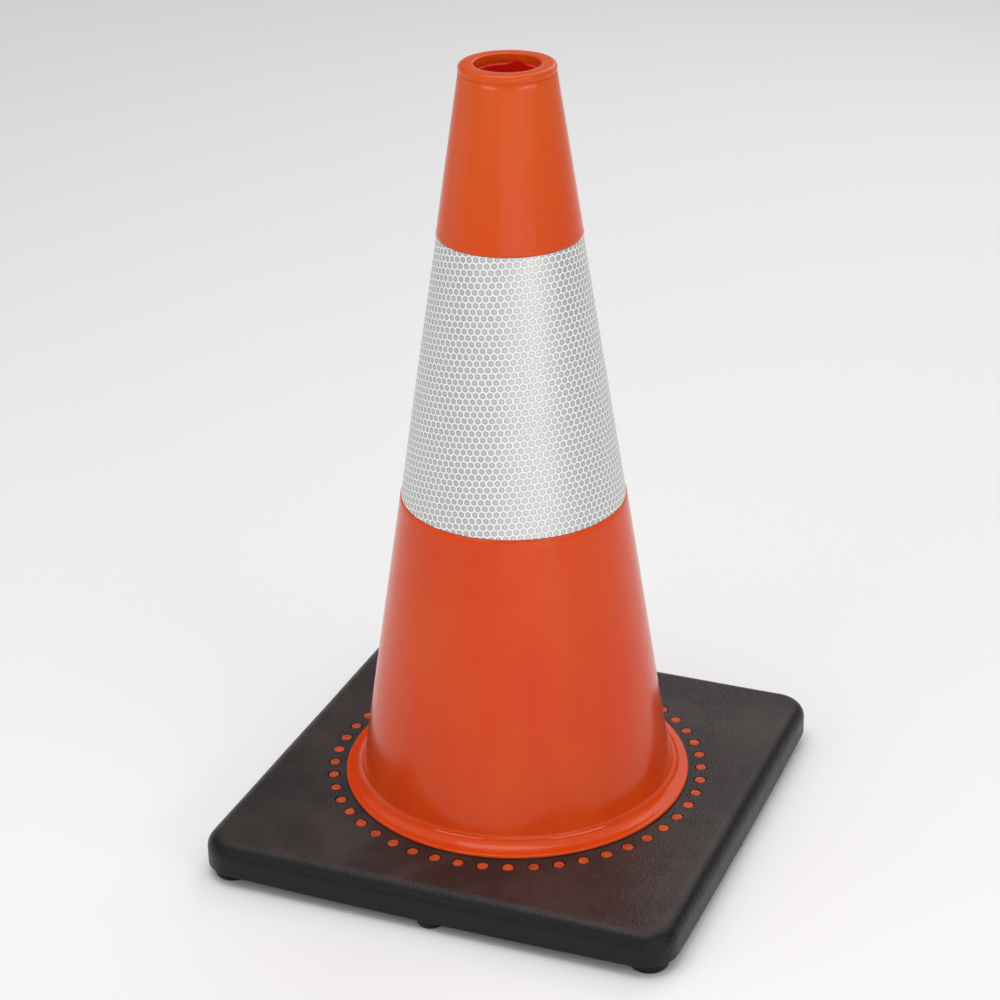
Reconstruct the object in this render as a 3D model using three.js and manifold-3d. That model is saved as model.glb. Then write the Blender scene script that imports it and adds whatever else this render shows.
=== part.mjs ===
// Flexible traffic cone, 450 mm tall, on a square weighted base.
// Three pieces: the orange cone moulding, the black base that it is locked into, and the reflective collar.
// Millimetres, +Z up. The origin is on the ground at the centre of the base, and its sides run along X and Y.

import * as THREE from 'three';
import { mergeVertices } from 'three/addons/utils/BufferGeometryUtils.js';
import Module from 'manifold-3d';

// ---- Driving dimensions ----

const overallHeight = 450;
const gap = 0.3; // clearance between neighbouring pieces
const turnedSides = 64; // facets round every large turned shape
const overrun = 1; // how far a cut, or the root of a joined piece, passes the face it crosses

// Base plate
const baseSide = 280;
const footHeight = 6.5;
const baseThickness = 19.5;
const baseCornerRadius = 19;
const baseRolledEdge = 9; // radius of the rounded top edge
const baseTop = footHeight + baseThickness;

// Cone wall
const footRadius = 91; // outside of the wall, carried down to the top of the base
const wallTaper = 0.155; // fall in radius per unit of height
const wallThickness = 4.2;

// Rim and neck
const rimEdgeRadius = 2;
const neckRadius = 17.8;
const neckDepth = 6;
const shoulderHeight = 7; // sloping shoulder between the neck and the hollow

// Collar and its recess
const collarBottom = 205;
const collarTop = 357;
const collarThickness = 0.8;
const recessDepth = 1.5;

// Skirt that sits on the base, and the anchor flange that lies under the base
const skirtRadius = 100.5;
const skirtEdgeHeight = 1.0;
const skirtTopHeight = 2.0; // top of the skirt above the top of the base
const skirtEdgeInset = 0.8;
const filletRadius = 8;
const anchorRadius = 118;
const anchorBottom = 3.9;
const anchorTop = footHeight - gap;

// Studs that lock the cone into the base
const studCount = 48;
const studRadius = 3.15;
const studRingRadius = 108;
const studSides = 10;

// Feet under the base
const cornerFootRadius = 11;
const cornerFootPlace = 124.5; // distance from the centre along X and along Y
const edgeFootRadius = 7.5;
const edgeFootPlace = 131;
const footSides = 20;
const footRounding = 1.5;

// ---- Boolean joins and cuts ----

const wasm = await Module();
wasm.setup();

function solidOf(geometry) {
  const bare = geometry.clone();
  bare.deleteAttribute('normal');
  bare.deleteAttribute('uv');
  const merged = mergeVertices(bare);
  return new wasm.Manifold(new wasm.Mesh({
    numProp: 3,
    vertProperties: new Float32Array(merged.attributes.position.array),
    triVerts: new Uint32Array(merged.index.array),
  }));
}

function geometryOf(solid) {
  const mesh = solid.getMesh();
  const geometry = new THREE.BufferGeometry();
  geometry.setAttribute('position', new THREE.BufferAttribute(new Float32Array(mesh.vertProperties), 3));
  geometry.setIndex(new THREE.BufferAttribute(new Uint32Array(mesh.triVerts), 1));
  geometry.computeVertexNormals();
  return geometry;
}

// ---- Shapes ----

// An outline of [radius, height] points turned about an axis along Z. It runs up its outer side, and it either
// starts and ends on the axis or is closed into a ring.
function turned(outline, sides, x = 0, y = 0) {
  const points = outline.map(([radius, height]) => new THREE.Vector2(radius, height));
  if (points[0].x > 0) {
    points.push(points[0].clone());
  }
  const geometry = new THREE.LatheGeometry(points, sides);
  geometry.rotateX(Math.PI / 2);
  geometry.translate(x, y, 0);
  return solidOf(geometry);
}

// A round peg along Z.
function peg(radius, bottom, top, x, y, sides) {
  const geometry = new THREE.CylinderGeometry(radius, radius, top - bottom, sides);
  geometry.rotateX(Math.PI / 2);
  geometry.translate(x, y, (bottom + top) / 2);
  return solidOf(geometry);
}

// Points of an arc in the (radius, height) plane, angles in radians.
function arc(centre, radius, startAngle, endAngle, steps) {
  const points = [];
  for (let i = 0; i <= steps; i += 1) {
    const angle = startAngle + (endAngle - startAngle) * i / steps;
    points.push([centre[0] + radius * Math.cos(angle), centre[1] + radius * Math.sin(angle)]);
  }
  return points;
}

const taperAngle = Math.atan(wallTaper);

function wallRadiusAt(height) {
  return footRadius - wallTaper * (height - baseTop);
}

function hollowRadiusAt(height) {
  return wallRadiusAt(Math.max(height, baseTop)) - wallThickness;
}

// Centres of the studs: none lies on the X or Y axis, because the ring is turned by half a step.
function studCentres() {
  const centres = [];
  for (let i = 0; i < studCount; i += 1) {
    const angle = (i + 0.5) * 2 * Math.PI / studCount;
    centres.push([studRingRadius * Math.cos(angle), studRingRadius * Math.sin(angle)]);
  }
  return centres;
}

// ---- Pieces ----

// Anchor flange, sleeve through the base and skirt on top of it, from the inside bottom upwards.
function footOutline() {
  const skirtBottom = baseTop + gap;
  const skirtTop = baseTop + skirtTopHeight;
  const filletHeight = skirtTop + filletRadius;
  const filletCentre = [wallRadiusAt(filletHeight) + filletRadius / Math.cos(taperAngle), filletHeight];
  return [
    [hollowRadiusAt(anchorBottom), anchorBottom],
    [anchorRadius, anchorBottom],
    [anchorRadius, anchorTop],
    [footRadius, anchorTop],
    [footRadius, skirtBottom],
    [skirtRadius, skirtBottom],
    [skirtRadius, baseTop + skirtEdgeHeight],
    [skirtRadius - skirtEdgeInset, skirtTop],
    ...arc(filletCentre, filletRadius, 1.5 * Math.PI, Math.PI + taperAngle, 5),
  ];
}

// Outside of the wall, with the collar's recess between a ledge and a lip.
function wallOutline() {
  const ledge = collarBottom - gap;
  const lip = collarTop + gap;
  return [
    [wallRadiusAt(ledge), ledge],
    [wallRadiusAt(ledge) - recessDepth, ledge],
    [wallRadiusAt(lip) - recessDepth, lip],
    [wallRadiusAt(lip), lip],
  ];
}

// Rounded rim, the neck and the shoulder that opens into the hollow.
function rimOutline() {
  const roundCentreHeight = overallHeight - rimEdgeRadius;
  const roundCentre = [wallRadiusAt(roundCentreHeight) - rimEdgeRadius / Math.cos(taperAngle), roundCentreHeight];
  const neckBottom = overallHeight - neckDepth;
  const shoulderBottom = neckBottom - shoulderHeight;
  return [
    ...arc(roundCentre, rimEdgeRadius, taperAngle, Math.PI / 2, 4),
    [neckRadius, overallHeight],
    [neckRadius, neckBottom],
    [hollowRadiusAt(shoulderBottom), shoulderBottom],
    [hollowRadiusAt(baseTop), baseTop],
  ];
}

function makeConeBody() {
  let solid = turned([...footOutline(), ...wallOutline(), ...rimOutline()], turnedSides);
  for (const [x, y] of studCentres()) {
    solid = solid.add(peg(studRadius, (anchorBottom + anchorTop) / 2, baseTop, x, y, studSides));
  }
  return solid;
}

function roundedSquare(side, cornerRadius) {
  const half = side / 2;
  const inner = half - cornerRadius;
  const shape = new THREE.Shape();
  shape.moveTo(-inner, -half);
  shape.lineTo(inner, -half);
  shape.absarc(inner, -inner, cornerRadius, -Math.PI / 2, 0);
  shape.lineTo(half, inner);
  shape.absarc(inner, inner, cornerRadius, 0, Math.PI / 2);
  shape.lineTo(-inner, half);
  shape.absarc(-inner, inner, cornerRadius, Math.PI / 2, Math.PI);
  shape.lineTo(-half, -inner);
  shape.absarc(-inner, -inner, cornerRadius, Math.PI, 1.5 * Math.PI);
  shape.closePath();
  return shape;
}

// Square plate with its top edge rolled over; the same roll on the underside is trimmed off flat.
function makePlate() {
  const geometry = new THREE.ExtrudeGeometry(roundedSquare(baseSide, baseCornerRadius), {
    depth: baseThickness - baseRolledEdge,
    curveSegments: 6,
    bevelThickness: baseRolledEdge,
    bevelSize: baseRolledEdge,
    bevelOffset: -baseRolledEdge,
    bevelSegments: 4,
  });
  geometry.translate(0, 0, footHeight);
  const trim = new THREE.BoxGeometry(2 * baseSide, 2 * baseSide, 2 * baseSide);
  trim.translate(0, 0, footHeight - baseSide);
  return solidOf(geometry).subtract(solidOf(trim));
}

// Moulded foot: a round pad with a rounded rim.
function makeFoot(radius, x, y) {
  const rootHeight = footHeight + overrun;
  return turned([
    [0, 0],
    ...arc([radius - footRounding, footRounding], footRounding, -Math.PI / 2, 0, 3),
    [radius, rootHeight],
    [0, rootHeight],
  ], footSides, x, y);
}

function feet() {
  const placed = [];
  for (const side of [-1, 1]) {
    placed.push([edgeFootRadius, side * edgeFootPlace, 0]);
    placed.push([edgeFootRadius, 0, side * edgeFootPlace]);
    placed.push([cornerFootRadius, side * cornerFootPlace, cornerFootPlace]);
    placed.push([cornerFootRadius, side * cornerFootPlace, -cornerFootPlace]);
  }
  return placed;
}

function makeBase() {
  let solid = makePlate();
  for (const [radius, x, y] of feet()) {
    solid = solid.add(makeFoot(radius, x, y));
  }
  const cutBottom = footHeight - overrun;
  const cutTop = baseTop + overrun;
  solid = solid.subtract(peg(footRadius + gap, cutBottom, cutTop, 0, 0, turnedSides));
  for (const [x, y] of studCentres()) {
    solid = solid.subtract(peg(studRadius + gap, cutBottom, cutTop, x, y, studSides));
  }
  return solid;
}

// Sleeve of reflective sheeting, lying in the recess.
function makeCollar() {
  const inner = (height) => wallRadiusAt(height) - recessDepth + gap;
  const outer = (height) => inner(height) + collarThickness;
  return turned([
    [inner(collarBottom), collarBottom],
    [outer(collarBottom), collarBottom],
    [outer(collarTop), collarTop],
    [inner(collarTop), collarTop],
  ], turnedSides);
}

// ---- Assembly ----

const orangePvc = new THREE.MeshStandardMaterial({ color: 0xd2491f, roughness: 0.35, metalness: 0 });
const blackRubber = new THREE.MeshStandardMaterial({ color: 0x2c2827, roughness: 0.8, metalness: 0 });
const reflectiveSheet = new THREE.MeshStandardMaterial({ color: 0xd4d4d6, roughness: 0.4, metalness: 0 });

function named(name, solid, material) {
  const mesh = new THREE.Mesh(geometryOf(solid), material);
  mesh.name = name;
  return mesh;
}

const cone = new THREE.Group();
cone.add(named('cone_body', makeConeBody(), orangePvc));
cone.add(named('base', makeBase(), blackRubber));
cone.add(named('reflective_collar', makeCollar(), reflectiveSheet));

export default cone;
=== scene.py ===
import cmath
import math
import random

import bmesh
import bpy
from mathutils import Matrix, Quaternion, Vector, noise
from mathutils.geometry import delaunay_2d_cdt


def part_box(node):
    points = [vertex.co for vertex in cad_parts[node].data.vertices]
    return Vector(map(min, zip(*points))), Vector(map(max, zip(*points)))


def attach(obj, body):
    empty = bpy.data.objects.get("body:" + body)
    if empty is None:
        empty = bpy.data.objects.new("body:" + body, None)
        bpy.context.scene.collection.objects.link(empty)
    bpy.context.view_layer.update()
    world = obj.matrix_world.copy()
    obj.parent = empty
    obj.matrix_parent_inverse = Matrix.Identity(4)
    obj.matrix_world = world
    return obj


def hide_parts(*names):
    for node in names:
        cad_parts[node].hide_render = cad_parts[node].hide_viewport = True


# A flexible traffic cone on its weighted base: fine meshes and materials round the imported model.
# Metres, +Z up, origin on the ground under the cone.

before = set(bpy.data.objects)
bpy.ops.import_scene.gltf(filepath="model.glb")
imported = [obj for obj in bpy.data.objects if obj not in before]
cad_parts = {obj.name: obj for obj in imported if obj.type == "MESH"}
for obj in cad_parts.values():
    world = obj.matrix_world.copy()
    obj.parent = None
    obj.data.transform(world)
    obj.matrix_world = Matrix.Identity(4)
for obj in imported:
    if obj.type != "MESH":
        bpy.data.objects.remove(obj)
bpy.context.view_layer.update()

mm = 0.001
TURN = 2 * math.pi

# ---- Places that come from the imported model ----

body_low, body_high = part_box("cone_body")
_, base_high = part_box("base")
collar_low, collar_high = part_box("reflective_collar")

rim_top = body_high.z
flange_bottom = body_low.z
anchor_radius = body_high.x
base_half = base_high.x
base_top = base_high.z
collar_bottom = collar_low.z
collar_top = collar_high.z
collar_radius = collar_high.x  # outside of the collar at its lower edge

# ---- Sizes of the details ----

gap = 0.3 * mm
wall_taper = 0.155  # fall in radius per unit of height
wall_thickness = 4.2 * mm
collar_inset = 0.4 * mm  # how far the collar's face lies inside the cone's outline
collar_thickness = 0.8 * mm
recess_depth = collar_inset + collar_thickness + gap
foot_radius = collar_radius + collar_inset + wall_taper * (collar_bottom - base_top)
sleeve_radius = foot_radius  # the sleeve runs straight down from the foot of the wall

around = 288  # points round the large turned shapes
stud_count = 48
stud_radius = 3.15 * mm
stud_ring_radius = 108 * mm
stud_points = 20
stud_zone = (103.0 * mm, 103.5 * mm)  # radii over which the moulding turns from skirt to studs

skirt_radius = 100.5 * mm
skirt_height = 2.0 * mm
fillet_radius = 8 * mm

wobble_rise = 30 * mm  # height above the base over which the unevenness of the wall sets in

neck_radius = 17.8 * mm
neck_depth = 6 * mm
shoulder_height = 7 * mm

slab_bottom = 6.5 * mm
anchor_top = slab_bottom - gap
base_corner = 19 * mm
rolled_edge = 9 * mm
under_edge = 0.8 * mm  # rounding of the lower edge

foot_points = 40  # points round a foot

# Feet as (x, y, radius), in millimetres: one under each corner, and one under the middle of each side.
corner_foot_place = 124.5
corner_foot_radius = 11
side_foot_place = 131
side_foot_radius = 7.5
foot_places = [(x * corner_foot_place, y * corner_foot_place, corner_foot_radius)
               for x, y in ((1, 1), (-1, 1), (-1, -1), (1, -1))]
foot_places += [(x * side_foot_place, y * side_foot_place, side_foot_radius)
                for x, y in ((1, 0), (0, 1), (-1, 0), (0, -1))]

cell_pitch = 4.0 * mm
sheet_level = math.radians(-43)  # direction in which the rows of cells lie level
seam_side = math.radians(95)  # direction of the sheet's butt seam

camera_place = Vector((0.4793, -1.1915, 0.8158))
camera_aim = Vector((-0.0071, -0.0028, 0.1989))
camera_roll = math.radians(-0.97)
camera_lens = 91.55  # focal length in millimetres, on a sensor 36 mm wide

# Edges that turn by more than this stay sharp, in degrees.
moulded_crease = 50
sheet_crease = 35

taper_angle = math.atan(wall_taper)


def wall_radius(z):
    return foot_radius - wall_taper * (z - base_top)


def hollow_radius(z):
    return wall_radius(max(z, base_top)) - wall_thickness


# ---- Mesh building ----

class Build:
    """Points and faces of one mesh, with shared points where shapes meet."""

    def __init__(self):
        self.points = []
        self.faces = []
        self.marks = []  # one material index per face

    def point(self, x, y, z):
        self.points.append((x, y, z))
        return len(self.points) - 1

    def face(self, *corners, mark=0):
        self.faces.append(corners)
        self.marks.append(mark)

    def loop(self, points):
        return [self.point(*p) for p in points]

    def strip(self, a, b, mark=0):
        """Quads between two closed loops with the same number of points."""
        count = len(a)
        for i in range(count):
            j = (i + 1) % count
            self.face(a[i], a[j], b[j], b[i], mark=mark)

    def cap(self, loop, x, y, z):
        """A fan of triangles from a closed loop to one point."""
        middle = self.point(x, y, z)
        count = len(loop)
        for i in range(count):
            self.face(loop[i], loop[(i + 1) % count], middle)

    def fill(self, outer, holes, height, spacing=0, inside=None, seed=0):
        """Fills the flat region between a closed loop and convex holes, with jittered points in it."""
        row_step = 0.866  # these three are shares of the spacing
        jitter = 0.12
        clearance = 0.55
        tolerance = 1e-9
        dice = random.Random(seed)
        flat = []
        owner = []
        edges = []
        of_hole = []
        for number, loop in enumerate([outer] + holes):
            start = len(flat)
            for k, index in enumerate(loop):
                x, y, _ = self.points[index]
                flat.append(Vector((x, y)))
                owner.append(index)
                of_hole.append(number)
                edges.append((start + k, start + (k + 1) % len(loop)))
        if spacing:
            reach = max(max(abs(p.x), abs(p.y)) for p in flat)
            rows = int(reach / (spacing * row_step)) + 1
            columns = int(reach / spacing) + 1
            for row in range(-rows, rows + 1):
                for column in range(-columns, columns + 1):
                    x = (column + 0.5 * (row % 2) + dice.uniform(-jitter, jitter)) * spacing
                    y = (row * row_step + dice.uniform(-jitter, jitter)) * spacing
                    if inside(x, y, clearance * spacing):
                        flat.append(Vector((x, y)))
                        owner.append(self.point(x, y, height))
                        of_hole.append(0)
        _, _, faces, origin, _, _ = delaunay_2d_cdt(flat, edges, [], 0, tolerance)
        for face in faces:
            corners = [origin[i][0] for i in face]
            hole = of_hole[corners[0]]
            if hole == 0 or any(of_hole[i] != hole for i in corners):
                self.face(*[owner[i] for i in corners])

    def finish(self, name, move=None):
        points = [move(Vector(p)) for p in self.points] if move else self.points
        return add_piece(name, points, self.faces, self.marks, moulded_crease)


def add_piece(name, points, faces, marks, crease):
    mesh = bpy.data.meshes.new(name)
    mesh.from_pydata(points, [], faces)
    mesh.polygons.foreach_set("material_index", marks)
    shape = bmesh.new()
    shape.from_mesh(mesh)
    bmesh.ops.recalc_face_normals(shape, faces=shape.faces)
    shape.to_mesh(mesh)
    shape.free()
    mesh.update()
    mesh.shade_smooth()
    mesh.set_sharp_from_angle(angle=math.radians(crease))
    piece = bpy.data.objects.new(name, mesh)
    bpy.context.scene.collection.objects.link(piece)
    return piece


def arc(centre, radius, start, end, steps):
    """Points of an arc in the (radius, height) plane, angles in radians."""
    found = []
    for i in range(steps + 1):
        angle = start + (end - start) * i / steps
        found.append((centre[0] + radius * math.cos(angle), centre[1] + radius * math.sin(angle)))
    return found


def line(a, b, steps):
    """Points from a to b, without a itself."""
    return [(a[0] + (b[0] - a[0]) * i / steps, a[1] + (b[1] - a[1]) * i / steps) for i in range(1, steps + 1)]


def circle(radius, z, count, x=0.0, y=0.0, turn=0.0):
    found = []
    for i in range(count):
        angle = TURN * i / count + turn
        found.append((x + radius * math.cos(angle), y + radius * math.sin(angle), z))
    return found


def stud_centres():
    for i in range(stud_count):
        angle = (i + 0.5) * TURN / stud_count
        yield stud_ring_radius * math.cos(angle), stud_ring_radius * math.sin(angle)


def peak_at(middle, width, angle):
    """1 at the middle angle, falling off smoothly over the width on either side, in radians."""
    return math.exp(-(math.remainder(angle - middle, TURN) / width) ** 2)


def wobble(angle, z):
    """Slow unevenness of the flexible wall, the same for the wall and for the collar on it."""
    place = Vector((1.3 * math.cos(angle), 1.3 * math.sin(angle), z * 9))
    fine = Vector((3.5 * math.cos(angle), 3.5 * math.sin(angle), z * 16 + 7))
    return (0.22 * noise.noise(place) + 0.06 * noise.noise(fine)) * mm


# ---- The orange moulding ----

def neck_flash(angle):
    """Ragged remains of the moulding gate in the neck: how far they reach inwards, and how far they rise."""
    lump_side = math.radians(91)
    lump_width = 0.22
    ring = Vector((math.cos(angle), math.sin(angle), 0))
    rough = 0.5 + 0.5 * noise.noise(ring * 3.1 + Vector((5, 1, 2)))
    nick = noise.noise(ring * 11 + Vector((1, 7, 3))) + 0.6 * noise.noise(ring * 26)
    lump = peak_at(lump_side, lump_width, angle)
    inward = (0.5 + 0.7 * rough + 0.45 * nick) * mm + 2.0 * mm * lump
    return max(inward, 0.1 * mm), 0.35 * nick * mm + 3.0 * mm * lump


def body_outline():
    """The outside, from the anchor flange up the sleeve, over skirt, wall and rim, and into the neck."""
    skirt_top = base_top + skirt_height
    skirt_under = base_top + gap
    fillet_z = skirt_top + fillet_radius
    fillet_centre = (wall_radius(fillet_z) + fillet_radius / math.cos(taper_angle), fillet_z)
    ledge = collar_bottom - gap
    lip = collar_top + gap
    groove_z = rim_top - 3.9 * mm  # the groove under the bead of the rim
    edge = 0.35 * mm  # softening of the edges of the collar's recess
    points = [(sleeve_radius, anchor_top)]
    points += line(points[-1], (sleeve_radius, skirt_under), 4)
    points += line(points[-1], (skirt_radius - 0.5 * mm, skirt_under), 5)
    points += arc((skirt_radius - 0.5 * mm, skirt_under + 0.5 * mm), 0.5 * mm, -math.pi / 2, 0, 4)
    points += arc((skirt_radius - 1.0 * mm, skirt_top - 0.85 * mm), 1.0 * mm, 0.15, math.radians(80), 6)
    points += arc(fillet_centre, fillet_radius, 1.5 * math.pi, math.pi + taper_angle, 22)
    points += line(points[-1], (wall_radius(ledge - edge), ledge - edge), 46)
    points += [(wall_radius(ledge) - edge * 0.35, ledge - 0.1 * mm), (wall_radius(ledge) - edge, ledge)]
    points += [(wall_radius(ledge) - recess_depth, ledge)]
    points += line(points[-1], (wall_radius(lip) - recess_depth, lip), 30)
    points += [(wall_radius(lip) - edge, lip), (wall_radius(lip) - edge * 0.3, lip + 0.1 * mm)]
    points += [(wall_radius(lip + edge) + 0.1 * mm, lip + edge + 0.1 * mm)]
    points += [(wall_radius(lip + 2 * mm), lip + 2 * mm)]
    points += line(points[-1], (wall_radius(groove_z - 0.8 * mm), groove_z - 0.8 * mm), 30)
    r = wall_radius(groove_z)
    points += [(r - 0.05 * mm, groove_z - 0.45 * mm), (r - 0.28 * mm, groove_z - 0.12 * mm),
               (r - 0.30 * mm, groove_z + 0.08 * mm), (r - 0.02 * mm, groove_z + 0.4 * mm),
               (r + 0.12 * mm, groove_z + 0.9 * mm), (r + 0.14 * mm, groove_z + 1.4 * mm)]
    points += arc((r - 1.9 * mm, rim_top - 2.0 * mm), 2.0 * mm, 0.12, math.radians(84), 9)
    points += [(r - 3.2 * mm, rim_top)]
    points += line(points[-1], (neck_radius + 0.8 * mm, rim_top), 4)
    points += arc((neck_radius + 0.6 * mm, rim_top - 0.6 * mm), 0.6 * mm, math.radians(75), math.pi, 5)
    points += line(points[-1], (neck_radius, rim_top - neck_depth + 0.8 * mm), 6)
    return points


def inside_outline():
    """From the ragged edge of the neck down the hollow to the flange's outer edge."""
    shoulder_bottom = rim_top - neck_depth - shoulder_height
    points = [(neck_radius + 0.9 * mm, rim_top - neck_depth - 1.2 * mm)]
    points += line(points[-1], (hollow_radius(shoulder_bottom), shoulder_bottom), 6)
    points += line(points[-1], (hollow_radius(base_top), base_top), 40)
    points += line(points[-1], (hollow_radius(base_top), flange_bottom + 0.8 * mm), 3)
    points += [(hollow_radius(base_top) + 0.8 * mm, flange_bottom)]
    points += line(points[-1], (anchor_radius - 0.8 * mm, flange_bottom), 6)
    points += [(anchor_radius, flange_bottom + 0.8 * mm), (anchor_radius, anchor_top)]
    return points


def turned_loop(build, radius, z):
    """A loop round the axis that follows the unevenness of the wall."""
    found = []
    for i in range(around):
        angle = TURN * i / around
        r = radius + wobble(angle, z) * min(1, max(0, (z - base_top) / wobble_rise))
        found.append(build.point(r * math.cos(angle), r * math.sin(angle), z))
    return found


def make_body():
    build = Build()
    outside = [turned_loop(build, radius, z) for radius, z in body_outline()]
    for a, b in zip(outside, outside[1:]):
        build.strip(a, b)
    previous = outside[-1]
    # Mark 1 gives the fin and the whole inside the inner material, with its painted shade and painted light.
    # The torn edge of the gate is a thin uneven fin that leans inwards. Its outline is (depth in
    # millimetres, share of its reach).
    fin = ((0.0, 0.35), (0.25, 0.8), (0.45, 1.0), (0.75, 0.9), (1.05, 0.3))
    for depth, share in fin:
        loop = []
        for i in range(around):
            angle = TURN * i / around
            inward, rise = neck_flash(angle)
            r = neck_radius + wobble(angle, rim_top) - inward * share
            z = rim_top - neck_depth + 0.6 * mm - depth * mm + rise * share
            loop.append(build.point(r * math.cos(angle), r * math.sin(angle), z))
        build.strip(previous, loop, mark=1)
        previous = loop
    for radius, z in inside_outline():
        loop = turned_loop(build, radius, z)
        build.strip(previous, loop, mark=1)
        previous = loop
    add_studs(build, outside[0], previous)
    return build.finish("cone_moulding")


def add_studs(build, inner_loop, outer_loop):
    """The anchor flange's upper face, with the studs that rise from it through the base."""
    # A stud's outline, as (share of its radius, depth below its top in millimetres).
    profile = ((1.0, 0.9), (1.0, 0.30), (0.975, 0.10), (0.93, 0.0), (0.7, -0.04), (0.35, 0.02))
    burr_width = 0.5
    dice = random.Random(4)
    roots = []
    for x, y in stud_centres():
        roots.append(build.loop(circle(stud_radius, anchor_top, stud_points, x, y)))
    build.fill(outer_loop, [inner_loop] + roots, anchor_top)
    for root, (x, y) in zip(roots, stud_centres()):
        size = stud_radius * dice.uniform(0.96, 1.03)
        top = base_top + dice.uniform(-0.12, 0.1) * mm
        tilt = Vector((dice.uniform(-0.03, 0.03), dice.uniform(-0.03, 0.03)))
        seed = dice.uniform(0, 100)
        burr_side = dice.uniform(0, TURN)
        burr = dice.choice((0, 0, 0.15, 0.35)) * mm
        previous = root
        for share, drop in profile:
            at_edge = 0.9 < share < 0.99
            loop = []
            for i in range(stud_points):
                angle = TURN * i / stud_points
                rough = 1 + 0.03 * noise.noise(Vector((2 * math.cos(angle), 2 * math.sin(angle), seed)))
                r = size * share * rough
                px = r * math.cos(angle)
                py = r * math.sin(angle)
                peak = burr * peak_at(burr_side, burr_width, angle) * at_edge
                z = top - drop * mm + px * tilt.x + py * tilt.y + peak
                loop.append(build.point(x + px, y + py, z))
            build.strip(previous, loop)
            previous = loop
        build.cap(previous, x, y, top - 0.06 * mm)


# ---- The weighted base ----

def square_loop(build, inset, z):
    """Rounded-square loop, inset from the plate's side."""
    straight = 60  # points along a side
    corner = 14  # points round a corner
    middle = base_half - base_corner
    radius = base_corner - inset
    loop = []
    for side in range(4):
        turn = side * math.pi / 2 - math.pi / 2
        c, s = math.cos(turn), math.sin(turn)
        outline = [(-middle + 2 * middle * i / straight, middle + radius) for i in range(straight)]
        for i in range(corner):
            angle = math.pi / 2 * i / corner
            outline.append((middle + radius * math.sin(angle), middle + radius * math.cos(angle)))
        for along, out in outline:
            loop.append(build.point(out * c - along * s, out * s + along * c, z))
    return loop


def in_square(x, y, inset):
    half = base_half - inset
    inner = base_half - base_corner
    ax, ay = abs(x), abs(y)
    if ax > half or ay > half:
        return False
    return ax < inner or ay < inner or math.hypot(ax - inner, ay - inner) < base_corner - inset


def base_shape(p):
    """Slow waviness of the moulded plate, whose edges hang a little between the corners."""
    ax, ay = abs(p.x), abs(p.y)
    hold = min(1, p.z / (3 * mm))  # keeps the soles of the feet flat
    edge_width = base_half - anchor_radius - 1 * mm
    edge = min(1, max(0, (max(ax, ay) - anchor_radius - 1 * mm) / edge_width))
    middle = max(0, 1 - (min(ax, ay) / base_half) ** 2)  # 1 in the middle of a side, 0 at a corner
    depth = min(1, max(0, (base_top - p.z) / (base_top - slab_bottom)))  # 0 on top, 1 underneath
    slow = noise.noise(Vector((p.x * 14, p.y * 14, 3))) * 0.16 * mm * (1 - depth)
    fine = noise.noise(p * 160) * 0.05 * mm
    sag = edge * ((0.8 - 1.7 * middle) * depth - 0.5 * middle * (1 - depth)) * mm
    shift = 0
    if max(ax, ay) > base_half - rolled_edge:
        side = noise.noise(Vector((p.x * 22, p.y * 22, p.z * 30))) * 0.15 * mm
        shift = hold * edge * (side - 0.4 * mm * middle)
    if min(ax, ay) > base_half - base_corner:
        sideways = Vector((math.copysign(shift, p.x), math.copysign(shift, p.y), 0)) * 0.7
    elif ax > ay:
        sideways = Vector((math.copysign(shift, p.x), 0, 0))
    else:
        sideways = Vector((0, math.copysign(shift, p.y), 0))
    return p + sideways + Vector((0, 0, hold * (fine + sag) + slow))


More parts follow.
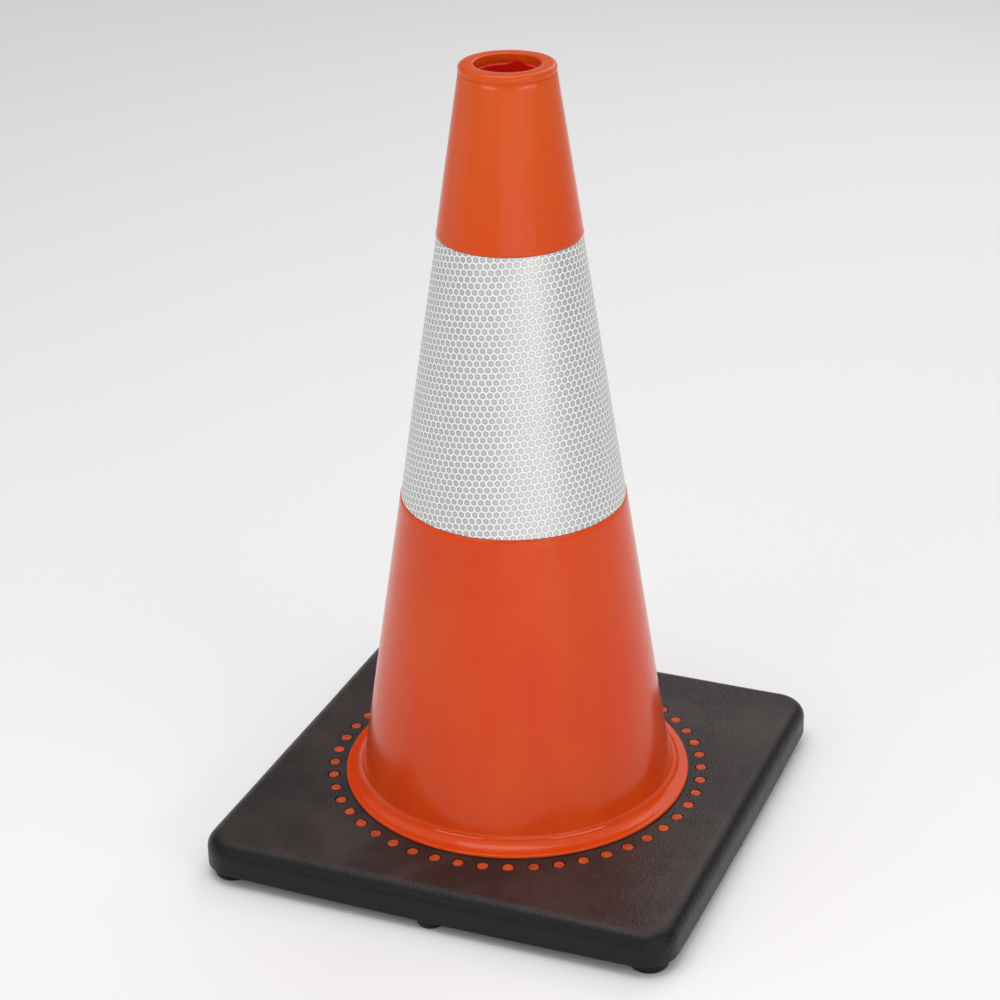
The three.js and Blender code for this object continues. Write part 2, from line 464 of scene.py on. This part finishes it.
def make_base():
    build = Build()
    dice = random.Random(11)
    centres = list(stud_centres())
    bore = sleeve_radius + gap
    bore_edge = 0.5 * mm
    hole = stud_radius + gap
    top_spacing = 2.2 * mm
    under_spacing = 4 * mm

    # The outside, from the underside round the rolled edge to the top.
    outline = [(under_edge, slab_bottom)]
    for i in range(1, 6):
        angle = math.pi / 2 * i / 5
        outline.append((under_edge * (1 - math.sin(angle)), slab_bottom + under_edge * (1 - math.cos(angle))))
    side_top = base_top - rolled_edge
    outline += line(outline[-1], (0.0, side_top), 8)
    for i in range(1, 17):
        angle = math.pi / 2 * i / 16
        outline.append((rolled_edge * (1 - math.cos(angle)), side_top + rolled_edge * math.sin(angle)))
    loops = [square_loop(build, inset, z) for inset, z in outline]
    for a, b in zip(loops, loops[1:]):
        build.strip(a, b)

    # The bore and the stud holes.
    hole_tops = []
    hole_roots = []
    for x, y in centres:
        wide = hole * dice.uniform(0.98, 1.06)
        turn = dice.uniform(0, 1)
        hole_tops.append(build.loop(circle(wide + 0.12 * mm, base_top, stud_points, x, y, turn)))
        throat = build.loop(circle(wide, base_top - 0.25 * mm, stud_points, x, y, turn))
        hole_roots.append(build.loop(circle(hole, slab_bottom, stud_points, x, y, turn)))
        build.strip(hole_roots[-1], throat)
        build.strip(throat, hole_tops[-1])
    bore_top = build.loop(circle(bore + bore_edge, base_top, around))
    bore_low = build.loop(circle(bore, base_top - bore_edge, around))
    bore_root = build.loop(circle(bore, slab_bottom, around))
    build.strip(bore_low, bore_top)
    build.strip(bore_root, bore_low)

    def on_top(x, y, margin):
        r = math.hypot(x, y)
        if not in_square(x, y, rolled_edge + margin) or r < bore + bore_edge + margin:
            return False
        if abs(r - stud_ring_radius) > 1.3 * hole + margin:
            return True
        return all(math.hypot(x - cx, y - cy) > 1.1 * hole + margin for cx, cy in centres)

    build.fill(loops[-1], [bore_top] + hole_tops, base_top, top_spacing, on_top, seed=5)

    # Moulded feet with blended roots.
    foot_roots = []
    for fx, fy, size in foot_places:
        # The outline, as (growth of the radius in millimetres, height), from the root down to the sole.
        root = 1.0 if size == corner_foot_radius else 0.4
        profile = [(root, slab_bottom), (0.4 * root, slab_bottom - 0.25 * mm),
                   (0.1 * root, slab_bottom - 1.0 * mm), (0.0, slab_bottom - 2.2 * mm), (0.0, 2.4 * mm),
                   (-0.15, 1.3 * mm), (-0.5, 0.55 * mm), (-1.0, 0.12 * mm), (-1.7, 0.0)]
        rings = [build.loop(circle((size + grow) * mm, z, foot_points, fx * mm, fy * mm))
                 for grow, z in profile]
        for a, b in zip(rings, rings[1:]):
            build.strip(a, b)
        build.cap(rings[-1], fx * mm, fy * mm, 0.0)
        foot_roots.append(rings[0])

    def under(x, y, margin):
        if not in_square(x, y, under_edge + margin) or math.hypot(x, y) < anchor_radius + margin:
            return False
        return all(math.hypot(x - fx * mm, y - fy * mm) > (size + 1) * mm + margin
                   for fx, fy, size in foot_places)

    build.fill(loops[0], [bore_root] + hole_roots + foot_roots, slab_bottom, under_spacing, under, seed=6)
    return build.finish("base_plate", move=base_shape)


# ---- The reflective collar ----

def cut_to(polygon, limits):
    """Cuts a polygon of (place, height, tone) corners to where every limit is positive."""
    for limit in limits:
        values = [limit(corner[0]) for corner in polygon]
        kept = []
        for i, (place, height, tone) in enumerate(polygon):
            j = (i + 1) % len(polygon)
            a, b = values[i], values[j]
            if a >= 0:
                kept.append((place, height, tone))
            if (a >= 0) != (b >= 0):
                t = a / (a - b)
                other = polygon[j]
                kept.append((place + (other[0] - place) * t, height + (other[1] - height) * t,
                             tone + (other[2] - tone) * t))
        polygon = kept
        if len(polygon) < 3:
            return []
    return polygon


def make_collar():
    """Honeycomb sheeting: raised ridges round sunken cells, cut as a flat sector and rolled round the cone.

    Places on the flat sector are complex numbers: the cone's apex is 0, and the middle of the sheet lies
    along +i.
    """
    sine = math.sin(taper_angle)
    cosine = math.cos(taper_angle)
    half_turn = math.pi * sine
    low = collar_radius / sine
    high = low - (collar_top - collar_bottom) / cosine
    apex_z = collar_bottom + collar_radius / wall_taper
    middle_side = seam_side + math.pi
    ridge = 0.42 * mm  # half the width of a ridge
    slope = 0.12 * mm  # width of the step from a ridge down into a cell
    sink = 0.10 * mm
    seam = 0.15 * mm  # half the gap at the butt seam
    corner = cell_pitch / math.sqrt(3)
    corner_share = 1.155  # how far a hexagon's corner moves for each unit that its sides move
    places_per_metre = 1e7  # corners that round to the same place are one corner

    def turn_of(p):
        return -cmath.phase(p / 1j)

    limits = (lambda p: low - abs(p),
              lambda p: abs(p) - high,
              lambda p: (half_turn + turn_of(p)) * abs(p) - seam,
              lambda p: (half_turn - turn_of(p)) * abs(p) - seam)

    numbers = {}
    corners = []
    tones = []
    faces = []

    def number(place, height, tone):
        key = tuple(round(value * places_per_metre) for value in (place.real, place.imag, height))
        if key not in numbers:
            numbers[key] = len(corners)
            corners.append((place, height))
            tones.append(tone)
        return numbers[key]

    def add(polygon):
        face = []
        for place, height, tone in polygon:
            i = number(place, height, tone)
            if i not in face:
                face.append(i)
        if len(face) >= 3:
            faces.append(face)

    # The grid of cells is level where the sheet faces sheet_level.
    level = math.remainder(sheet_level - middle_side, TURN) * sine
    lean = cmath.exp(-1j * level)
    row_step = cell_pitch * math.sqrt(3) / 2
    first_row = int(high * math.cos(half_turn + abs(level)) / row_step) - 4
    last_row = int(low / row_step) + 3
    columns = int(low * math.sin(half_turn + abs(level)) / cell_pitch) + 4
    # A cell's hexagons from its border inwards, as (distance of the corners, height, tone).
    rings = ((corner, 0, 0.0), (corner - corner_share * ridge, 0, 0.0),
             (corner - corner_share * (ridge + slope), -sink, 0.45), (0.36 * corner, -0.7 * sink, 1.0))
    for row in range(first_row, last_row):
        for column in range(-columns, columns):
            centre = ((column + 0.5 * (row % 2)) * cell_pitch + 1j * row * row_step) * lean
            values = [limit(centre) for limit in limits]
            if min(values) < -cell_pitch:
                continue
            needed = [limit for limit, value in zip(limits, values) if value < cell_pitch]
            rays = [1j * cmath.exp(1j * k * math.pi / 3) * lean for k in range(6)]
            hexagons = [[(centre + ray * radius, height, tone) for ray in rays]
                        for radius, height, tone in rings]
            pieces = [hexagons[-1]]
            for outer, inner in zip(hexagons, hexagons[1:]):
                for k in range(6):
                    n = (k + 1) % 6
                    pieces.append([outer[k], outer[n], inner[n], inner[k]])
            for piece in pieces:
                cut = cut_to(piece, needed)
                if cut:
                    add(cut)
                    if needed:
                        add([(place, -collar_thickness, 0.0) for place, _, _ in cut])
            if not needed:
                add([(place, -collar_thickness, 0.0) for place, _, _ in hexagons[0]])

    # Close the cut edges between the face and the back.
    uses = {}
    for face in faces:
        for a, b in zip(face, face[1:] + face[:1]):
            key = (min(a, b), max(a, b))
            uses[key] = uses.get(key, 0) + 1
    for (a, b), count in uses.items():
        if count == 1 and corners[a][1] > -collar_thickness and corners[b][1] > -collar_thickness:
            faces.append([a, b, number(corners[b][0], -collar_thickness, 0.0),
                          number(corners[a][0], -collar_thickness, 0.0)])

    placed = []
    for place, height in corners:
        angle = turn_of(place) / sine + middle_side
        z = apex_z - abs(place) * cosine
        r = abs(place) * sine + wobble(angle, z) + height * cosine
        placed.append((r * math.cos(angle), r * math.sin(angle), z + height * sine))
    piece = add_piece("collar_sheet", placed, faces, [0] * len(faces), sheet_crease)
    piece.data.attributes.new("cell", "FLOAT", "POINT").data.foreach_set("value", tones)
    return piece


# ---- Materials ----

def set_stops(ramp, stops):
    """Gives a colour ramp its grey stops of (position, level)."""
    while len(ramp.elements) < len(stops):
        ramp.elements.new(0.5)
    for element, (position, level) in zip(ramp.elements, stops):
        element.position = position
        element.color = (level, level, level, 1)


class Paint:
    """A material's node tree, with short calls for the nodes used here."""

    def __init__(self, name):
        self.material = bpy.data.materials.new(name)
        self.material.use_nodes = True
        self.tree = self.material.node_tree
        self.shader = self.tree.nodes["Principled BSDF"]
        self.place = self.tree.nodes.new("ShaderNodeTexCoord").outputs["Object"]

    def link(self, value, socket):
        if isinstance(value, bpy.types.NodeSocket):
            self.tree.links.new(value, socket)
        elif value is not None:
            socket.default_value = value

    def scaled(self, x, y, z):
        node = self.tree.nodes.new("ShaderNodeMapping")
        node.inputs["Scale"].default_value = (x, y, z)
        self.tree.links.new(self.place, node.inputs["Vector"])
        return node.outputs["Vector"]

    def noise(self, scale, detail, rough, place=None, distortion=0.0):
        node = self.tree.nodes.new("ShaderNodeTexNoise")
        node.inputs["Scale"].default_value = scale
        node.inputs["Detail"].default_value = detail
        node.inputs["Roughness"].default_value = rough
        node.inputs["Distortion"].default_value = distortion
        self.tree.links.new(place or self.place, node.inputs["Vector"])
        return node.outputs["Fac"]

    def cells(self, scale):
        node = self.tree.nodes.new("ShaderNodeTexVoronoi")
        node.inputs["Scale"].default_value = scale
        self.tree.links.new(self.place, node.inputs["Vector"])
        return node.outputs["Distance"]

    def ramp(self, value, *stops):
        node = self.tree.nodes.new("ShaderNodeValToRGB")
        set_stops(node.color_ramp, stops)
        self.tree.links.new(value, node.inputs["Fac"])
        return node.outputs["Color"]

    def mix(self, amount, a, b):
        """From a to b. Each of them is an output, a colour or a single level."""
        node = self.tree.nodes.new("ShaderNodeMix")
        node.data_type = "RGBA"
        self.link(amount, node.inputs["Factor"])
        for value, name in ((a, "A"), (b, "B")):
            socket = [s for s in node.inputs if s.name == name and s.type == "RGBA"][0]
            if isinstance(value, float):
                value = (value, value, value)
            self.link((*value, 1) if isinstance(value, tuple) else value, socket)
        return [s for s in node.outputs if s.type == "RGBA"][0]

    def times(self, a, b):
        node = self.tree.nodes.new("ShaderNodeMath")
        node.operation = "MULTIPLY"
        self.link(a, node.inputs[0])
        self.link(b, node.inputs[1])
        return node.outputs[0]

    def axis(self, name):
        node = self.tree.nodes.new("ShaderNodeSeparateXYZ")
        self.tree.links.new(self.place, node.inputs[0])
        return node.outputs[name]

    def facing_up(self):
        node = self.tree.nodes.new("ShaderNodeNewGeometry")
        split = self.tree.nodes.new("ShaderNodeSeparateXYZ")
        self.tree.links.new(node.outputs["Normal"], split.inputs[0])
        return split.outputs["Z"]

    def radius(self):
        node = self.tree.nodes.new("ShaderNodeVectorMath")
        node.operation = "LENGTH"
        self.tree.links.new(self.scaled(1, 1, 0), node.inputs[0])
        return node.outputs["Value"]

    def attribute(self, name):
        node = self.tree.nodes.new("ShaderNodeAttribute")
        node.attribute_name = name
        return node.outputs["Fac"]

    def bump(self, height, strength, distance, before=None):
        node = self.tree.nodes.new("ShaderNodeBump")
        node.inputs["Strength"].default_value = strength
        node.inputs["Distance"].default_value = distance
        self.tree.links.new(height, node.inputs["Height"])
        if before:
            self.tree.links.new(before, node.inputs["Normal"])
        return node.outputs["Normal"]

    def finish(self, colour, roughness, normal=None, **fixed):
        self.link(colour, self.shader.inputs["Base Color"])
        self.link(roughness, self.shader.inputs["Roughness"])
        self.link(normal, self.shader.inputs["Normal"])
        for name, value in fixed.items():
            self.shader.inputs[name.replace("_", " ")].default_value = value
        return self.material


def orange_pvc():
    paint = Paint("orange_pvc")
    red_orange = (0.69, 0.056, 0.004)
    orange = (0.71, 0.074, 0.005)
    deep_orange = (0.67, 0.038, 0.004)
    painted_reflection_orange = (0.71, 0.094, 0.006)
    dust_colour = (0.80, 0.30, 0.20)
    stud_orange = (0.62, 0.080, 0.014)
    stud_dirt = (0.36, 0.058, 0.016)

    slow = paint.noise(14, 3, 0.5)
    drawn = paint.noise(9, 4, 0.55, paint.scaled(4, 4, 0.35), 0.4)
    colour = paint.mix(paint.ramp(slow, (0.35, 0.0), (0.7, 1.0)), red_orange, orange)
    colour = paint.mix(paint.ramp(drawn, (0.45, 0.0), (0.75, 0.5)), colour, deep_orange)
    # Painted reflection: the upper part of the wall is mixed towards a paler orange that stands in for a
    # broad warm reflection.
    upper = paint.ramp(paint.axis("Z"), (340 * mm, 0.0), (420 * mm, 0.75))
    colour = paint.mix(upper, colour, painted_reflection_orange)
    dust = paint.noise(700, 2, 0.6)
    colour = paint.mix(paint.ramp(dust, (0.72, 0.0), (0.80, 0.15)), colour, dust_colour)
    studs = paint.ramp(paint.radius(), (stud_zone[0], 0.0), (stud_zone[1], 1.0))
    dirt = paint.noise(160, 3, 0.6)
    dirty = paint.mix(paint.ramp(dirt, (0.40, 0.0), (0.68, 1.0)), stud_orange, stud_dirt)
    colour = paint.mix(studs, colour, dirty)

    # Glossy on the skirt and fillet, duller on the wall and dullest on the studs.
    roughness = paint.ramp(paint.noise(30, 5, 0.6), (0.3, 0.07), (0.75, 0.12))
    wall = paint.ramp(paint.axis("Z"), (36 * mm, 0.0), (55 * mm, 0.6))
    roughness = paint.mix(wall, roughness, 0.27)
    roughness = paint.mix(studs, roughness, 0.42)
    flow = paint.bump(drawn, 0.30, 0.0006)
    peel = paint.bump(paint.noise(420, 2, 0.5), 0.06, 0.0001, flow)
    return paint.finish(colour, roughness, peel, Specular_IOR_Level=0.27)


def inner_pvc_painted_light():
    """The matt inside, in painted shade and painted light: darker, deeper colours than the outside, and a
    faint emission that stands in for the daylight coming through the thin wall.
    """
    paint = Paint("inner_pvc_painted_light")
    # Painted shade: the inside's colours are a darker, deeper copy of the outside orange.
    shaded_crimson = (0.60, 0.012, 0.008)
    shaded_red = (0.70, 0.04, 0.006)
    # Painted light: an emission colour for the daylight that shines through the thin wall.
    painted_glow = (0.75, 0.02, 0.015, 1)

    colour = paint.mix(paint.noise(120, 3, 0.5), shaded_crimson, shaded_red)
    roughness = paint.ramp(paint.noise(300, 3, 0.6), (0.3, 0.35), (0.75, 0.55))
    normal = paint.bump(paint.noise(500, 4, 0.6), 0.4, 0.0004)
    return paint.finish(colour, roughness, normal, Specular_IOR_Level=0.4,
                        Emission_Color=painted_glow, Emission_Strength=0.16)


def black_rubber():
    """Clean and black on the sides, with grey dust in patches on every face that looks up. The patches cover
    more of the top than dust alone, as a painted reflection of the bright surround.
    """
    paint = Paint("black_rubber")
    black = (0.0035, 0.0032, 0.0034)
    soft_black = (0.0065, 0.0060, 0.0062)
    thin_dust = (0.017, 0.0125, 0.0118)
    thick_dust_and_reflection = (0.050, 0.035, 0.033)
    rubbed = (0.018, 0.012, 0.011)
    speck = (0.08, 0.075, 0.07)

    up = paint.ramp(paint.facing_up(), (0.80, 0.0), (0.985, 1.0))
    mottle = paint.noise(26, 5, 0.62)
    # Partly painted reflection: this mask is set so that much of the top is pale, for the bright surround
    # mirrored there as well as for real dust.
    patches = paint.ramp(paint.noise(9, 4, 0.6, distortion=0.6), (0.30, 0.0), (0.58, 1.0))
    side = paint.mix(mottle, black, soft_black)
    dust_and_reflection = paint.mix(patches, thin_dust, thick_dust_and_reflection)
    dust_and_reflection = paint.mix(paint.ramp(mottle, (0.42, 0.0), (0.62, 0.7)), dust_and_reflection, rubbed)
    colour = paint.mix(up, side, dust_and_reflection)
    specks = paint.ramp(paint.noise(1500, 2, 0.5), (0.66, 0.0), (0.74, 0.3))
    colour = paint.mix(specks, colour, speck)
    roughness = paint.mix(up, 0.36, 0.29)
    roughness = paint.mix(0.22, roughness, paint.noise(90, 4, 0.6))
    grain = paint.bump(paint.noise(900, 3, 0.6), 0.6, 0.00025)
    pebbles = paint.bump(paint.cells(640), 0.45, 0.0004, grain)
    return paint.finish(colour, roughness, pebbles, Specular_IOR_Level=0.26)


def reflective_sheet():
    """Pale plastic ridges round metallic cells."""
    paint = Paint("reflective_sheet")
    grey_white = (0.86, 0.86, 0.86)
    white = (0.93, 0.93, 0.92)

    cell = paint.attribute("cell")
    ridge = paint.mix(paint.noise(60, 3, 0.5), grey_white, white)
    well = paint.ramp(cell, (0.0, 0.48), (0.5, 0.42), (1.0, 0.60))
    inside_cell = paint.ramp(cell, (0.12, 0.0), (0.34, 1.0))
    colour = paint.mix(inside_cell, ridge, well)
    roughness = paint.mix(inside_cell, 0.50, 0.42)
    paint.link(paint.times(inside_cell, 0.95), paint.shader.inputs["Metallic"])
    normal = paint.bump(paint.noise(600, 2, 0.5), 0.15, 0.0001)
    return paint.finish(colour, roughness, normal, Specular_IOR_Level=0.5)


# ---- Camera, light and floor ----

def make_camera():
    camera = bpy.data.objects.new("camera", bpy.data.cameras.new("camera"))
    bpy.context.scene.collection.objects.link(camera)
    camera.location = camera_place
    outward = (camera_place - camera_aim).normalized()
    camera.rotation_mode = "QUATERNION"
    level = outward.to_track_quat("Z", "Y")
    camera.rotation_quaternion = Quaternion(outward, camera_roll) @ level
    camera.data.lens = camera_lens
    camera.data.sensor_width = 36
    camera.data.clip_start = 0.05
    bpy.context.scene.camera = camera


def make_floor():
    mesh = bpy.data.meshes.new("floor")
    size = 8
    corners = [(-size, -size, 0), (size, -size, 0), (size, size, 0), (-size, size, 0)]
    mesh.from_pydata(corners, [], [(0, 1, 2, 3)])
    floor = bpy.data.objects.new("floor", mesh)
    bpy.context.scene.collection.objects.link(floor)
    pale = (0.94, 0.94, 0.94, 1)
    mesh.materials.append(Paint("floor_white").finish(pale, 0.7))


def make_panel(name, azimuth, distance, low, high, width, radiance, lean=0.0):
    """A soft box that faces the cone's axis and leans down by lean, in radians.

    azimuth is in degrees, counter-clockwise from the camera's side. Lengths are in metres.
    """
    side = math.radians(azimuth) + math.atan2(camera_place.y, camera_place.x)
    height = high - low
    data = bpy.data.lights.new(name, "AREA")
    data.shape = "RECTANGLE"
    data.size = width
    data.size_y = height
    data.energy = radiance * math.pi * width * height
    light = bpy.data.objects.new(name, data)
    light.location = (distance * math.cos(side), distance * math.sin(side), (low + high) / 2)
    bpy.context.scene.collection.objects.link(light)
    inward = Vector((-math.cos(side), -math.sin(side), 0))
    facing = inward * math.cos(lean) - Vector((0, 0, math.sin(lean)))
    light.rotation_mode = "QUATERNION"
    light.rotation_quaternion = facing.to_track_quat("-Z", "Y")


def make_world():
    """A pale horizon, dim walls above it and a bright ceiling."""
    world = bpy.data.worlds.new("studio")
    world.use_nodes = True
    tree = world.node_tree
    place = tree.nodes.new("ShaderNodeTexCoord")
    split = tree.nodes.new("ShaderNodeSeparateXYZ")
    ramp = tree.nodes.new("ShaderNodeValToRGB")
    tree.links.new(place.outputs["Generated"], split.inputs[0])
    tree.links.new(split.outputs["Z"], ramp.inputs["Fac"])
    horizon = ((0.0, 0.62), (0.14, 0.52))
    walls = ((0.32, 0.08), (0.55, 0.08))
    ceiling = ((0.75, 0.92), (1.0, 0.92))
    set_stops(ramp.color_ramp, horizon + walls + ceiling)
    tree.links.new(ramp.outputs["Color"], tree.nodes["Background"].inputs["Color"])
    bpy.context.scene.world = world


# ---- Assembly ----

make_camera()
make_floor()
make_world()
# name, azimuth, distance, low, high, width, radiance, lean
make_panel("front", 5, 1.25, 0.03, 0.45, 0.9, 1.1)
make_panel("low_right", 34, 1.3, 0.04, 0.30, 0.30, 2.0)
make_panel("right", 42, 1.3, 0.56, 0.66, 0.95, 9.6, lean=0.4)
make_panel("left", -42, 1.3, 0.56, 0.66, 0.8, 8.0, lean=0.4)
make_panel("far_left", -95, 1.4, 0.1, 0.9, 1.0, 0.3)
make_panel("top", -50, 0.25, 1.2, 2.1, 0.9, 2.4, lean=math.pi / 2)
make_panel("back", 150, 1.6, 0.8, 2.0, 1.6, 1.2, lean=0.5)
bpy.context.scene.view_settings.view_transform = "Standard"

body = make_body()
body.data.materials.append(orange_pvc())
body.data.materials.append(inner_pvc_painted_light())
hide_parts("cone_body")
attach(body, "root")

plate = make_base()
plate.data.materials.append(black_rubber())
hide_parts("base")
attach(plate, "root")

collar = make_collar()
collar.data.materials.append(reflective_sheet())
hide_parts("reflective_collar")
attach(collar, "root")
